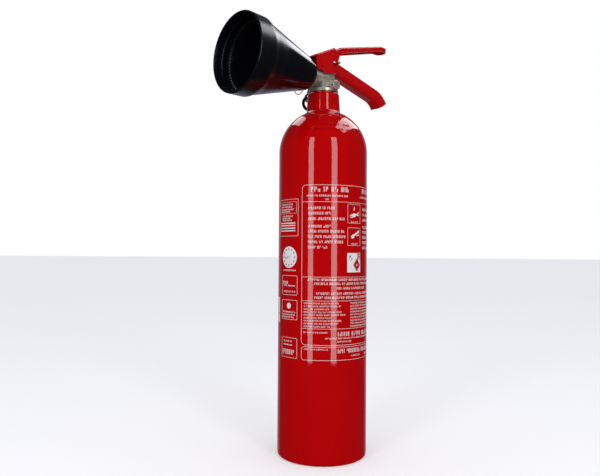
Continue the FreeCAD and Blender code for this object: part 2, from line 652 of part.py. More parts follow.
def squeeze_lever():
    """Upper lever: a steel channel, open downwards, that turns on the pivot pin."""
    swing = (PIN_X - PIVOT_X) * math.sin(math.radians(SQUEEZE_DEG))
    relief_z = PIN_Z + PIN_R + swing + 4 * SHEET_GAP
    front_x = PIVOT_X - LOBE_R
    heel = (PIVOT_X + LOBE_R, PIVOT_Z)
    curl_low = lever_top_z(LEVER_CURL_X) - LEVER_TIP_WALL
    low_steps = [
        (front_x, PIVOT_Z),
        (PIVOT_X, PIVOT_Z - LOBE_R) + heel,
        (heel[0], PIVOT_Z + LOBE_R - SHEET_GAP),
        (PIN_X - LOBE_R - PIN_R, relief_z),
        (PIN_X, relief_z),
        (LEVER_BEND_X, lever_top_z(LEVER_BEND_X) - LEVER_WALL),
        (LEVER_CURL_X, curl_low),
        (LEVER_TIP_X, curl_low),
    ]
    room_low = PIVOT_Z - 2 * LOBE_R
    room_steps = [(PIVOT_X - LOBE_R - LEVER_T, room_low), (LEVER_TIP_X - LEVER_T, room_low)]
    shell = lever_blank(0, low_steps).cut(lever_blank(LEVER_T, room_steps))
    return shell.cut(cross_rod(PIVOT_R + FIT, PIVOT_X, PIVOT_Z, LEVER_HALF))


def lever_pivot_pin():
    """Headed steel pin through the bracket, the handle, the lever and the valve's lug."""
    pin = cross_rod(PIVOT_R, PIVOT_X, PIVOT_Z, BRACKET_HALF + PIVOT_HEAD_T)
    heads = cross_rod(PIVOT_HEAD_R, PIVOT_X, PIVOT_Z, BRACKET_HALF + PIVOT_HEAD_T)
    heads = heads.cut(cross_rod(PIVOT_HEAD_R, PIVOT_X, PIVOT_Z, BRACKET_HALF + FIT))
    return pin.fuse(heads).removeSplitter()


def bracket_rivet():
    """Flush rivet that ties the bracket and the handle to the valve head."""
    return cross_rod(RIVET_R, RIVET_X, RIVET_Z, BRACKET_HALF + RIVET_DOME)


def pin_leg_end():
    """Middle of the wire at the top of the pin's eye."""
    return Vector(EYE_X, PIN_BACK, EYE_Z + EYE_R)


def safety_pin():
    """Steel wire pin: a straight shank through the bracket, bent down behind to an eye for the ring."""
    corner = Vector(PIN_X, PIN_BACK, PIN_Z)
    tip = Vector(PIN_X, -PIN_TIP + PIN_R, PIN_Z)
    leg = pin_leg_end() - corner
    leg.normalize()
    before = corner - Vector(0, PIN_BEND_R, 0)
    after = corner + leg * PIN_BEND_R
    centre = before + leg * PIN_BEND_R
    outward = corner - centre
    outward.normalize()
    path = Part.Wire([
        Part.LineSegment(tip, before).toShape(),
        Part.Arc(before, centre + outward * PIN_BEND_R, after).toShape(),
        Part.LineSegment(after, pin_leg_end()).toShape(),
    ])
    section = Part.Wire(Part.Circle(tip, Vector(0, 1, 0), PIN_R).toShape())
    pin = path.makePipeShell([section], True, False)
    pin = pin.fuse(Part.makeSphere(PIN_R, tip))
    eye = Part.makeTorus(EYE_R, PIN_R, Vector(EYE_X, PIN_BACK, EYE_Z), Vector(1, 0, 0))
    return pin.fuse(eye)


def pull_ring():
    """Black moulded ring that hangs in the pin's eye."""
    return Part.makeTorus(RING_R, RING_WIRE_R, Vector(EYE_X, PIN_BACK, RING_TOP_Z - RING_R), Vector(0, 1, 0))


def tamper_seal():
    """Red plastic tie looped round the pin's shank, with its moulded lock."""
    top = (PIN_X, PIN_Z)
    low = (SEAL_LOW_X, VALVE_Z + SEAL_LOW_H)
    top_r = PIN_R + SEAL_GAP + SEAL_WIRE_R
    run = math.hypot(top[0] - low[0], top[1] - low[1])
    lean = math.atan2(top[1] - low[1], top[0] - low[0])
    spread = math.acos((SEAL_LOW_R - top_r) / run)

    def touch(centre, radius, angle):
        return Vector(centre[0] + radius * math.cos(angle), SEAL_Y, centre[1] + radius * math.sin(angle))

    low_a = touch(low, SEAL_LOW_R, lean + spread)
    low_b = touch(low, SEAL_LOW_R, lean - spread)
    top_a = touch(top, top_r, lean + spread)
    top_b = touch(top, top_r, lean - spread)
    path = Part.Wire([
        Part.LineSegment(low_a, top_a).toShape(),
        Part.Arc(top_a, touch(top, top_r, lean), top_b).toShape(),
        Part.LineSegment(top_b, low_b).toShape(),
        Part.Arc(low_b, touch(low, SEAL_LOW_R, lean + math.pi), low_a).toShape(),
    ])
    section = Part.Wire(Part.Circle(low_a, top_a - low_a, SEAL_WIRE_R).toShape())
    loop = path.makePipeShell([section], True, False)
    lock = Part.makeBox(*SEAL_LOCK, Vector(-SEAL_LOCK[0] / 2, -SEAL_LOCK[1] / 2, -SEAL_LOCK[2] / 2))
    middle = (low_b + top_b) * 0.5
    turn = FreeCAD.Rotation(Vector(0, 1, 0), -math.degrees(math.atan2(top_b.z - low_b.z, top_b.x - low_b.x)))
    lock.Placement = FreeCAD.Placement(middle, turn)
    return loop.fuse(lock)


NODES = [
    cylinder_shell, label_film, neck_seal_washer, valve_body, spring_retainer, dip_tube, valve_spring,
    valve_poppet, seat_disc, valve_stem, stem_o_ring, gland_nut, burst_disc, burst_disc_washer,
    burst_disc_cap, horn_gasket, discharge_nozzle, horn, lever_bracket, carry_handle, squeeze_lever,
    lever_pivot_pin, bracket_rivet, safety_pin, pull_ring, tamper_seal,
]

os.makedirs("parts", exist_ok=True)
for make in NODES:
    shape = make()
    shape.exportStep("parts/" + make.__name__ + ".step")
    print(make.__name__, len(shape.Solids), "solid, valid", shape.isValid(), "volume", round(shape.Volume, 1))
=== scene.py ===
import math
import random

import bmesh
import bpy
from mathutils import Matrix, Vector


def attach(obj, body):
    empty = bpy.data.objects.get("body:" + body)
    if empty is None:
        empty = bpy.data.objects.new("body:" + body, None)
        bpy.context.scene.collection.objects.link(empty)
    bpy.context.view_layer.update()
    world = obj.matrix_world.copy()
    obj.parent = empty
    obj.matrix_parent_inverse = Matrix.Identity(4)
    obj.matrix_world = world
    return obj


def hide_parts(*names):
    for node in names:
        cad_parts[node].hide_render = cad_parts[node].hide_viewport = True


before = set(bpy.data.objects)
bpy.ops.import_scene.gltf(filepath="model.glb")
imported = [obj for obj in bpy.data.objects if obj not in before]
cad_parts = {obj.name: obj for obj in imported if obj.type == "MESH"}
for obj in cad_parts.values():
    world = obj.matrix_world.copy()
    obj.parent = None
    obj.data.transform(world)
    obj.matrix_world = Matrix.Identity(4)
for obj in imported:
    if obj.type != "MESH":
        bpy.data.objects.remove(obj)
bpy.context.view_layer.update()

# ---- Cylinder ----
# One seamless bottle of drawn steel with a dished base, a round shoulder and a thick bored neck.
# It is shot-blasted, sprayed with red enamel and stoved, so it is glossy with a faint orange peel.
MM = 0.001
ROOT = "extinguisher_body"
WALL_R = 54.0
INNER_R = 50.5
STRAIGHT_TOP = 366.0
NECK_TOP = 440.0
CYLINDER_SIDES = 160


def linear(code):
    """Linear colour, with full alpha, of an sRGB hex value."""
    values = [int(code[i:i + 2], 16) / 255 for i in (1, 3, 5)]
    return [v / 12.92 if v <= 0.04045 else ((v + 0.055) / 1.055) ** 2.4 for v in values] + [1.0]


def add(tree, kind, settings, links):
    """Add a node with its settings, and link its inputs to other nodes' outputs."""
    node = tree.nodes.new(kind)
    for key, value in settings.items():
        if isinstance(key, int) or key in node.inputs:
            node.inputs[key].default_value = value
        else:
            setattr(node, key, value)
    for key, source in links.items():
        tree.links.new(source, node.inputs[key])
    return node


def surface(name, tones, patch_mm, grain_mm, depth_mm, rough, settings):
    """Material of two mottled tones with a fine relief, whose roughness wanders with the mottling."""
    made = bpy.data.materials.new(name)
    made.use_nodes = True
    tree = made.node_tree
    shader = tree.nodes["Principled BSDF"]
    for key, value in settings.items():
        shader.inputs[key].default_value = value
    spot = add(tree, "ShaderNodeTexCoord", {}, {}).outputs["Object"]
    patches = add(tree, "ShaderNodeTexNoise", {"Scale": 1 / (patch_mm * MM), "Detail": 4.0},
                  {"Vector": spot}).outputs["Fac"]
    tone = add(tree, "ShaderNodeMix", {"data_type": "RGBA", 6: linear(tones[0]), 7: linear(tones[1])},
               {0: patches})
    shine = add(tree, "ShaderNodeMapRange", {"From Min": 0.3, "From Max": 0.7, "To Min": rough[0],
                                             "To Max": rough[1]}, {"Value": patches})
    grain = add(tree, "ShaderNodeTexNoise", {"Scale": 1 / (grain_mm * MM), "Detail": 2.0}, {"Vector": spot})
    relief = add(tree, "ShaderNodeBump", {"Distance": depth_mm * MM}, {"Height": grain.outputs["Fac"]})
    tree.links.new(tone.outputs[2], shader.inputs["Base Color"])
    tree.links.new(shine.outputs["Result"], shader.inputs["Roughness"])
    tree.links.new(relief.outputs["Normal"], shader.inputs["Normal"])
    return made


def arc(centre, radius, start, end, steps):
    """Points of an arc in the radius and height plane, from one angle to another in degrees."""
    angles = [math.radians(start + (end - start) * i / steps) for i in range(steps + 1)]
    return [(centre[0] + radius * math.cos(a), centre[1] + radius * math.sin(a)) for a in angles]


def lathe(name, profile, sides, finish, place=Matrix()):
    """Closed piece turned about Z from a closed loop of (radius, height) points in millimetres."""
    work = bmesh.new()
    rings = []
    for radius, height in profile:
        if radius < 1e-6:
            rings.append([work.verts.new((0, 0, height * MM))] * sides)
            continue
        turns = [2 * math.pi * i / sides for i in range(sides)]
        rings.append([work.verts.new((radius * MM * math.cos(t), radius * MM * math.sin(t), height * MM))
                      for t in turns])
    for ring, following in zip(rings, rings[1:] + rings[:1]):
        for i in range(sides):
            j = (i + 1) % sides
            corners = []
            for vert in (ring[i], ring[j], following[j], following[i]):
                if vert not in corners:
                    corners.append(vert)
            if len(corners) > 2:
                work.faces.new(corners)
    bmesh.ops.recalc_face_normals(work, faces=work.faces)
    mesh = bpy.data.meshes.new(name)
    work.to_mesh(mesh)
    work.free()
    mesh.transform(place)
    mesh.shade_smooth()
    mesh.set_sharp_from_angle(angle=math.radians(35))
    mesh.materials.append(finish)
    piece = bpy.data.objects.new(name, mesh)
    bpy.context.collection.objects.link(piece)
    return piece


# Stoved enamel: a deep even red under a hard clear gloss that mirrors lights as sharp strips.
enamel = surface("red stoved enamel", ("#B40003", "#C00305"), 40, 1.6, 0.004, (0.24, 0.32),
                 {"Specular IOR Level": 0.0, "Coat Weight": 1.0, "Coat Roughness": 0.04, "Coat IOR": 1.5})

foot_ring = [(44.0, 0.0), (50.0, 0.0)] + arc((50.0, 4.0), 4.0, -90, 0, 8)
wall = [(WALL_R, z) for z in range(20, 366, 20)]
shoulder = arc((0, STRAIGHT_TOP), WALL_R, 0, 64.9, 40)
neck = arc((24.6, 418.52), 4.0, 244.9, 180, 8)[1:]
neck += [(19.45, 437.2), (19.3, 438.5), (18.8, 439.4), (17.8, NECK_TOP)]
bore = [(12.5, NECK_TOP), (12.5, 414.93)]
inside = arc((0, STRAIGHT_TOP), INNER_R, 75.7, 0, 24) + arc((42.5, 16.59), 8.0, 0, -65.0, 8)
floor_inside = arc((0, -74.67), 92.67, 65.0, 90, 8)
dish = arc((0, -74.67), 86.67, 90, 59.5, 16)[:-1]
cylinder = lathe("cylinder", foot_ring + wall + shoulder + neck + bore + inside + floor_inside[:-1]
                 + [(0, 18.0)] + [(0, 12.0)] + dish[1:], CYLINDER_SIDES, enamel)
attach(cylinder, ROOT)
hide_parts("cylinder_shell")

# ---- Stamped marks ----
# Test and capacity marks are rolled into the shoulder before painting. Plain blocks stand for them.
# The enamel runs over them, so only their edges catch the light.
STAMP_HEIGHT = 3.6
STAMP_ROWS = ((22.5, -64.0, 8.0), (30.0, -58.0, -4.0))
STAMP_PITCH = 2.3
STAMP_RELIEF = 0.6
STAMP_BLANKS = 0.16


def dash_nodes():
    """Node tree that sets one flat block on each point, as long and as turned as the point says."""
    tree = bpy.data.node_groups.new("blocks on points", "GeometryNodeTree")
    for name, kind in (("Geometry", "Geometry"), ("Block Height", "Float"), ("Block Thickness", "Float"),
                       ("Finish", "Material")):
        tree.interface.new_socket(name, in_out="INPUT", socket_type="NodeSocket" + kind)
    tree.interface.new_socket("Geometry", in_out="OUTPUT", socket_type="NodeSocketGeometry")
    given = add(tree, "NodeGroupInput", {}, {}).outputs
    share = add(tree, "GeometryNodeInputNamedAttribute", {"data_type": "FLOAT_VECTOR", "Name": "block_size"}, {})
    turn = add(tree, "GeometryNodeInputNamedAttribute", {"data_type": "FLOAT_VECTOR", "Name": "block_turn"}, {})
    full = add(tree, "ShaderNodeCombineXYZ", {"X": 1.0}, {"Y": given["Block Thickness"], "Z": given["Block Height"]})
    size = add(tree, "ShaderNodeVectorMath", {"operation": "MULTIPLY"}, {0: full.outputs[0],
                                                                         1: share.outputs["Attribute"]})
    spin = add(tree, "FunctionNodeEulerToRotation", {}, {0: turn.outputs["Attribute"]})
    cube = add(tree, "GeometryNodeMeshCube", {"Size": (1, 1, 1)}, {})
    blocks = add(tree, "GeometryNodeInstanceOnPoints", {},
                 {"Points": given["Geometry"], "Instance": cube.outputs["Mesh"],
                  "Rotation": spin.outputs[0], "Scale": size.outputs[0]})
    real = add(tree, "GeometryNodeRealizeInstances", {}, {"Geometry": blocks.outputs[0]})
    dressed = add(tree, "GeometryNodeSetMaterial", {}, {"Geometry": real.outputs[0], "Material": given["Finish"]})
    add(tree, "NodeGroupOutput", {}, {"Geometry": dressed.outputs[0]})
    return tree


def set_blocks(name, spots, height, thickness, finish):
    """Blocks at (place, turn, (length, share of the height)) spots, in millimetres, as one plain mesh."""
    mesh = bpy.data.meshes.new(name)
    mesh.from_pydata([Vector(place) * MM for place, turn, size in spots], [], [])
    mesh.attributes.new("block_size", "FLOAT_VECTOR", "POINT").data.foreach_set(
        "vector", [side for place, turn, size in spots for side in (size[0] * MM, 1.0, size[1])])
    mesh.attributes.new("block_turn", "FLOAT_VECTOR", "POINT").data.foreach_set(
        "vector", [angle for place, turn, size in spots for angle in turn])
    piece = bpy.data.objects.new(name, mesh)
    bpy.context.collection.objects.link(piece)
    nodes = piece.modifiers.new("blocks", "NODES")
    nodes.node_group = block_tree
    inputs = {item.name: item.identifier for item in block_tree.interface.items_tree
              if item.in_out == "INPUT"}
    nodes[inputs["Block Height"]] = height * MM
    nodes[inputs["Block Thickness"]] = thickness * MM
    nodes[inputs["Finish"]] = finish
    shown = piece.evaluated_get(bpy.context.evaluated_depsgraph_get())
    result = bpy.data.meshes.new_from_object(shown)
    piece.modifiers.clear()
    piece.data = result
    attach(piece, ROOT)
    return piece


block_tree = dash_nodes()
dice = random.Random(4)
stamps = []
for latitude, first, last in STAMP_ROWS:
    tilt = math.radians(latitude)
    step = math.degrees(STAMP_PITCH / (WALL_R * math.cos(tilt)))
    azimuth = first
    while azimuth < last:
        around = math.radians(azimuth - 90)
        out = WALL_R * math.cos(tilt)
        spot = (out * math.cos(around), out * math.sin(around), STRAIGHT_TOP + WALL_R * math.sin(tilt))
        if dice.random() > STAMP_BLANKS:
            size = (dice.uniform(0.7, 1.4), dice.choice((1.0, 1.0, 0.6)))
            stamps.append((spot, (tilt, 0.0, math.radians(azimuth)), size))
        azimuth += step
set_blocks("shoulder_stamps", stamps, STAMP_HEIGHT, STAMP_RELIEF, enamel)

# ---- Label film ----
# A clear-coated red film wrapped round the front, laid on after stoving. It has the enamel's own red,
# so only its edge shows, and all its print is white.
FILM_LOW, FILM_HIGH = 118.0, 325.0
FILM_HALF = 71.0
FILM_SKIN = (54.02, 54.18)


def wrap(across, up, radius):
    """Place on the bottle of a flat drawing's point: millimetres to the right of the front's middle, and up."""
    around = across / WALL_R - math.pi / 2
    return Vector((radius * math.cos(around), radius * math.sin(around), up)) * MM


def raised(name, drawings, skin, finish):
    """Closed thin shapes wrapped round the bottle. A drawing is its flat points and its faces."""
    work = bmesh.new()
    for points, faces in drawings:
        low = [work.verts.new(wrap(x, z, skin[0])) for x, z in points]
        high = [work.verts.new(wrap(x, z, skin[1])) for x, z in points]
        borders = set()
        for face in faces:
            work.faces.new([high[i] for i in face])
            work.faces.new([low[i] for i in reversed(face)])
            borders ^= {frozenset(pair) for pair in zip(face, face[1:] + face[:1])}
        for face in faces:
            for a, b in zip(face, face[1:] + face[:1]):
                if frozenset((a, b)) in borders:
                    work.faces.new([low[a], low[b], high[b], high[a]])
    bmesh.ops.recalc_face_normals(work, faces=work.faces)
    mesh = bpy.data.meshes.new(name)
    work.to_mesh(mesh)
    work.free()
    mesh.shade_smooth()
    mesh.set_sharp_from_angle(angle=math.radians(35))
    mesh.materials.append(finish)
    piece = bpy.data.objects.new(name, mesh)
    bpy.context.collection.objects.link(piece)
    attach(piece, ROOT)
    return piece


def sheet(left, low, right, high, most=2.5):
    """Flat drawing of a rectangle in strips narrow enough to follow the bottle."""
    count = max(1, math.ceil((right - left) / most))
    xs = [left + (right - left) * i / count for i in range(count + 1)]
    points = [(x, z) for x in xs for z in (low, high)]
    return points, [[2 * i, 2 * i + 2, 2 * i + 3, 2 * i + 1] for i in range(count)]


# Coated film: the enamel's red and gloss, so the label reads as print on the bottle itself.
glossy_film = surface("clear-coated red film", ("#B40003", "#C00305"), 60, 3.0, 0.003, (0.24, 0.30),
                      {"Specular IOR Level": 0.0, "Coat Weight": 1.0, "Coat Roughness": 0.04, "Coat IOR": 1.5})
film_edge = FILM_HALF * math.pi / 180 * WALL_R
film = raised("label", [sheet(-film_edge, FILM_LOW, film_edge, FILM_HIGH)], FILM_SKIN, glossy_film)
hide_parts("label_film")

# ---- Label print ----
# White screen print: rounded frames, dividers, pictogram boxes and rows of blocks in place of words.
# The ink lies about a tenth of a millimetre proud, in the film and, beside it, straight on the enamel.
INK = (54.12, 54.25)
ENAMEL_INK = (53.95, 54.10)
LINE = 0.36
PEN = 0.13
INK_T = 0.13
SIDE_INK_T = 0.15
BADGE_INK_T = 0.1


def dense(path, closed=True, most=2.0):
    """Path with enough points along its straight runs to follow the bottle."""
    points = []
    for a, b in zip(path, path[1:] + (path[:1] if closed else [])):
        count = max(1, math.ceil(math.dist(a, b) / most))
        points += [(a[0] + (b[0] - a[0]) * i / count, a[1] + (b[1] - a[1]) * i / count) for i in range(count)]
    return points if closed else points + [path[-1]]


def rounded(left, low, right, high, corner):
    """Closed path of a rectangle with round corners, with enough points to follow the bottle."""
    path = []
    for x, z, start in ((right - corner, high - corner, 90), (right - corner, low + corner, 0),
                        (left + corner, low + corner, -90), (left + corner, high - corner, -180)):
        path += arc((x, z), corner, start, start - 90, 4)
    return dense(path)


def stroke(path, width, closed):
    """Flat drawing of a line of even width along a path."""
    path = dense(path, closed)
    points = []
    for i, (x, z) in enumerate(path):
        before = path[i - 1] if closed or i else path[i]
        after = path[(i + 1) % len(path)] if closed or i + 1 < len(path) else path[i]
        along = Vector((after[0] - before[0], after[1] - before[1])).normalized() * (width / 2)
        points += [(x - along[1], z + along[0]), (x + along[1], z - along[0])]
    count = len(path)
    last = count if closed else count - 1
    return points, [[2 * i, 2 * ((i + 1) % count), 2 * ((i + 1) % count) + 1, 2 * i + 1] for i in range(last)]


def filled(path, rings=4):
    """Flat drawing of a filled shape that can be seen whole from its middle."""
    middle = (sum(x for x, z in path) / len(path), sum(z for x, z in path) / len(path))
    points = [middle]
    for ring in range(1, rings + 1):
        share = ring / rings
        points += [(middle[0] + (x - middle[0]) * share, middle[1] + (z - middle[1]) * share) for x, z in path]
    count = len(path)
    faces = [[0, 1 + (i + 1) % count, 1 + i] for i in range(count)]
    for ring in range(rings - 1):
        near, far = 1 + ring * count, 1 + (ring + 1) * count
        faces += [[near + i, near + (i + 1) % count, far + (i + 1) % count, far + i] for i in range(count)]
    return points, faces


def disc(x, z, radius, sides=32):
    """Closed path of a circle."""
    return arc((x, z), radius, 0, 360 * (1 - 1 / sides), sides - 1)


def words(left, right, z, cap, skin, ragged=0.0):
    """Spots of the upright strokes that stand for a row of words between two places across the front."""
    spots = []
    x = left
    end = right - dice.uniform(0, ragged)
    pen = cap * PEN
    while x < end - cap:
        for letter in range(dice.randint(2, 8)):
            for stem in range(dice.choice((1, 2, 2, 2, 3))):
                share = dice.choice((1.0, 1.0, 1.0, 0.55))
                rise = dice.choice((-1, 1)) * cap * (1 - share) / 2
                spots.append((wrap(x + pen / 2, z + rise, (skin[0] + skin[1]) / 2) / MM,
                              (0.0, 0.0, (x + pen / 2) / WALL_R), (pen, share)))
                x += pen * 2.1
            x += cap * 0.16
            if x > end - pen:
                break
        x += cap * 0.42
    return spots


# Screen inks: duller than the gloss around them. White carries the label, red and grey pick out marks.
white_ink = surface("white screen print", ("#EDE6E4", "#F6F1EF"), 8, 0.6, 0.01, (0.34, 0.46),
                    {"Coat Weight": 0.6, "Coat Roughness": 0.1})
red_ink = surface("red screen print", ("#A80408", "#B2060A"), 8, 0.6, 0.01, (0.34, 0.46), {"Coat Weight": 0.6})
grey_ink = surface("grey-blue screen print", ("#5B5A72", "#6A6880"), 8, 0.6, 0.01, (0.34, 0.46),
                   {"Coat Weight": 0.6})

FRAME_SIDE = 65.4
lines = [stroke(rounded(-FRAME_SIDE, 138.2, FRAME_SIDE, 322.0, 4.5), LINE, True),
         stroke(rounded(-FRAME_SIDE, 121.0, FRAME_SIDE, 136.0, 3.0), LINE, True)]
for z in (302.6, 216.0, 188.7, 156.8):
    lines.append(sheet(-FRAME_SIDE, z - LINE / 2.4, FRAME_SIDE, z + LINE / 2.4))
for low, high in ((278.6, 300.6), (252.6, 273.2)):
    lines.append(stroke(rounded(-10.3, low, 10.3, high, 0.8), LINE * 0.8, True))
# Pictograms: a lever being pulled, and a horn pointed at a low flame.
lines += [
    stroke([(-7.0, 287.0), (-1.0, 289.4), (7.4, 288.0)], 1.5, False),
    stroke([(-6.5, 285.2), (0.0, 286.4), (7.6, 291.6)], 1.1, False),
    stroke([(-1.2, 293.6), (-0.4, 297.6)], 1.2, False),
    filled(disc(-1.4, 287.6, 2.2, 16), 2),
    stroke([(-3.4, 263.6), (2.2, 266.0), (7.8, 269.6)], 2.4, False),
    stroke([(-5.0, 262.0), (-1.0, 263.4)], 3.4, False),
    stroke([(3.0, 264.0), (8.0, 265.2)], 1.0, False),
]
lines.append(filled(rounded(-10.8, 221.4, 10.8, 243.8, 0.5), 9))
raised("label_lines", lines, INK, white_ink)

MARK_INK = (54.22, 54.27)
diamond = dense([(4.2, 222.2), (10.2, 230.0), (4.2, 237.8), (-1.8, 230.0)])
raised("label_red_marks", [filled(diamond, 6), filled(rounded(4.6, 236.4, 11.4, 245.2, 0.4), 4)], MARK_INK,
       red_ink)
raised("label_white_marks", [stroke([(2.9, 229.9), (4.2, 229.9), (5.5, 229.9)], 0.8, False),
                             stroke([(4.2, 228.6), (4.2, 231.2)], 0.8, False),
                             stroke(rounded(5.8, 237.8, 10.0, 243.8, 0.6), 0.7, True),
                             stroke([(5.8, 240.8), (8.0, 240.8), (10.0, 240.8)], 0.7, False)],
       (54.25, 54.285), white_ink)
raised("label_grey_marks", [filled(disc(-6.8, 239.6, 1.3, 12), 2), filled(disc(-4.0, 237.2, 0.9, 12), 2),
                            stroke([(-8.0, 236.4), (-5.4, 241.8)], 0.7, False),
                            stroke([(-6.4, 234.8), (-4.6, 236.0)], 0.7, False)], MARK_INK, grey_ink)

headings = []
for side in (-1, 1):
    centre = 34.6 * side
    headings += words(centre - 20.0, centre + 23.0, 317.0, 5.8, INK)
set_blocks("label_headings", headings, 5.8, INK_T, white_ink)
subtitles = []
for side in (-1, 1):
    centre = 34.6 * side
    subtitles += words(centre - 25.0, centre + 25.0, 309.5, 2.4, INK)
    subtitles += words(centre - 3.0, centre + 3.5, 305.4, 2.0, INK)
set_blocks("label_subtitles", subtitles, 2.1, INK_T, white_ink)

STEP_ROWS = ((295.4, 30), (289.4, 26), (283.0, 42), (274.4, 31), (268.6, 44), (262.4, 48), (256.4, 41), (250.2, 23))
steps_text = []
for left in (-57.6, 16.0):
    for z, length in STEP_ROWS:
        steps_text += words(left, left + length, z, 3.3, INK)
    for z in (295.4, 274.4):
        steps_text += words(left - 4.4, left - 1.6, z, 3.3, INK)
set_blocks("label_steps", steps_text, 3.1, INK_T, white_ink)

warning_text = []
for z, half in ((213.0, 58), (208.4, 50), (203.2, 24), (197.2, 48), (192.5, 50)):
    warning_text += words(-half, half, z, 3.0, INK, ragged=3.0)
set_blocks("label_warnings", warning_text, 2.7, INK_T, white_ink)

fine_text = []
for row in range(9):
    z = 185.9 - row * 3.32
    fine_text += words(-62.5, -12.0 - 14.0 * (row % 3 == 2), z, 2.0, INK, ragged=12.0)
    fine_text += words(-6.0, 60.0 - 10.0 * (row % 2), z, 2.0, INK, ragged=14.0)
for z, left, right in ((152.6, -63.0, -34.0), (133.4, -62.0, -33.5), (146.0, -37.0, 44.0), (142.2, -23.0, -3.0),
                       (125.4, -4.5, 10.0), (125.4, 22.0, 40.0), (279.9, -6.0, 6.0), (254.6, -5.0, 6.0)):
    fine_text += words(left, right, z, 1.9, INK)
set_blocks("label_fine_print", fine_text, 1.7, INK_T, white_ink)
maker_rows = words(-22.4, 44.0, 150.8, 5.2, INK) + words(-22.4, 40.0, 131.4, 4.6, INK)
set_blocks("label_maker_rows", maker_rows, 4.8, INK_T, white_ink)

# ---- Side print and sticker ----
# A narrow column of approval boxes printed straight on the enamel beside the film, with a white
# badge, and a white paper service sticker behind them.
COLUMN = (-98.6, -71.6)
column_middle = sum(COLUMN) / 2
BADGE_INK = (54.06, 54.14)
BADGE_Z = 238.6
side_lines = [stroke(rounded(-107.0, 263.4, -70.8, 306.4, 1.0), LINE, True),
              stroke(rounded(-105.0, 289.8, -73.4, 303.4, 0.4), LINE * 0.6, True),
              stroke(rounded(COLUMN[0], 194.6, COLUMN[1], 217.0, 1.2), LINE, True),
              stroke(rounded(COLUMN[0], 166.0, COLUMN[1], 188.4, 1.2), LINE, True),
              stroke(rounded(COLUMN[0], 121.6, COLUMN[1], 144.6, 1.2), LINE, True),
              filled(disc(column_middle, BADGE_Z, 12.6, 40), 6),
              filled(disc(column_middle + 0.6, 181.8, 3.4, 20), 2),
              sheet(-126.0, 160.4, -106.4, 190.6)]
for z in (272.6, 269.6, 275.8, 278.6):
    side_lines.append(sheet(-104.0, z - 0.7, -75.0, z + 0.5))
raised("side_lines", side_lines, ENAMEL_INK, white_ink)
ring_marks = [stroke([(column_middle + r * math.cos(a), BADGE_Z + r * math.sin(a)) for r in (8.6, 10.6)], 1.5, False)
              for a in (2 * math.pi * i / 12 for i in range(12))]
raised("side_badge_marks", ring_marks, (54.08, 54.13), grey_ink)
set_blocks("side_badge_row", words(column_middle - 7.0, column_middle + 7.4, 238.4, 4.6, BADGE_INK), 3.4, BADGE_INK_T,
           grey_ink)
side_text = []
for z in (300.6, 297.6, 294.6, 292.0):
    side_text += words(-101.0, -76.0, z, 1.8, ENAMEL_INK, ragged=5.0)
for z in (286.8, 284.2, 281.8):
    side_text += words(-99.0, -78.0, z, 1.8, ENAMEL_INK, ragged=5.0)
side_text += words(column_middle - 11.0, column_middle + 11.0, 223.2, 1.6, ENAMEL_INK)
side_text += words(column_middle - 10.0, column_middle + 11.0, 198.4, 1.7, ENAMEL_INK)
side_text += words(column_middle - 1.0, column_middle + 12.0, 205.2, 1.9, ENAMEL_INK)
for z in (174.6, 171.4, 168.6):
    side_text += words(column_middle - 11.0, column_middle + 11.0, z, 1.9, ENAMEL_INK)
for z in (140.6, 136.4):
    side_text += words(column_middle - 9.0, column_middle + 9.0, z, 1.9, ENAMEL_INK, ragged=4.0)
set_blocks("side_fine_print", side_text, 1.7, SIDE_INK_T, white_ink)
side_marks = words(column_middle - 11.5, column_middle - 0.6, 207.6, 6.4, ENAMEL_INK)
side_marks += words(column_middle - 11.5, column_middle + 11.5, 128.2, 5.4, ENAMEL_INK)
set_blocks("side_mark_rows", side_marks, 5.8, SIDE_INK_T, white_ink)
set_blocks("sticker_row", words(-112.6, -107.4, 171.0, 3.0, BADGE_INK), 2.0, BADGE_INK_T, grey_ink)

# ---- Valve ----
# Forged brass body, machined and nickel plated to a warm satin grey, screwed into the neck on a copper
# washer. Cast-in part marks are plain raised blocks.


def eased(node, body, finish, width_mm):
    """Copy of a CAD piece whose sharp edges are slightly rounded, as plating and paint leave them."""
    work = bmesh.new()
    work.from_mesh(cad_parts[node].data)
    bmesh.ops.remove_doubles(work, verts=work.verts, dist=2e-6)
    bmesh.ops.dissolve_limit(work, angle_limit=math.radians(0.5), verts=work.verts, edges=work.edges)
    places = [v.co.copy() for v in work.verts]
    work.verts.index_update()
    faces = [[v.index for v in face.verts] for face in work.faces]
    work.free()
    mesh = bpy.data.meshes.new(node + "_eased")
    mesh.from_pydata(places, [], faces)
    mesh.shade_smooth()
    mesh.set_sharp_from_angle(angle=math.radians(35))
    mesh.materials.append(finish)
    piece = bpy.data.objects.new(node + "_eased", mesh)
    bpy.context.collection.objects.link(piece)
    bevel = piece.modifiers.new("eased edges", "BEVEL")
    bevel.width = width_mm * MM
    bevel.segments = 3
    bevel.limit_method = "ANGLE"
    bevel.angle_limit = math.radians(40)
    bevel.harden_normals = True
    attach(piece, body)
    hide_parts(node)
    return piece


def dress(finish, *nodes):
    """Give CAD pieces their finish."""
    for node in nodes:
        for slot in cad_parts[node].material_slots:
            slot.material = finish


# Satin nickel over a shot-blasted forging: soft warm reflections broken by the fine blasted grain.
nickel = surface("satin nickel plate on forged brass", ("#C4B9AB", "#E0D8CC"), 7, 0.35, 0.01, (0.3, 0.46),
                 {"Metallic": 0.75})
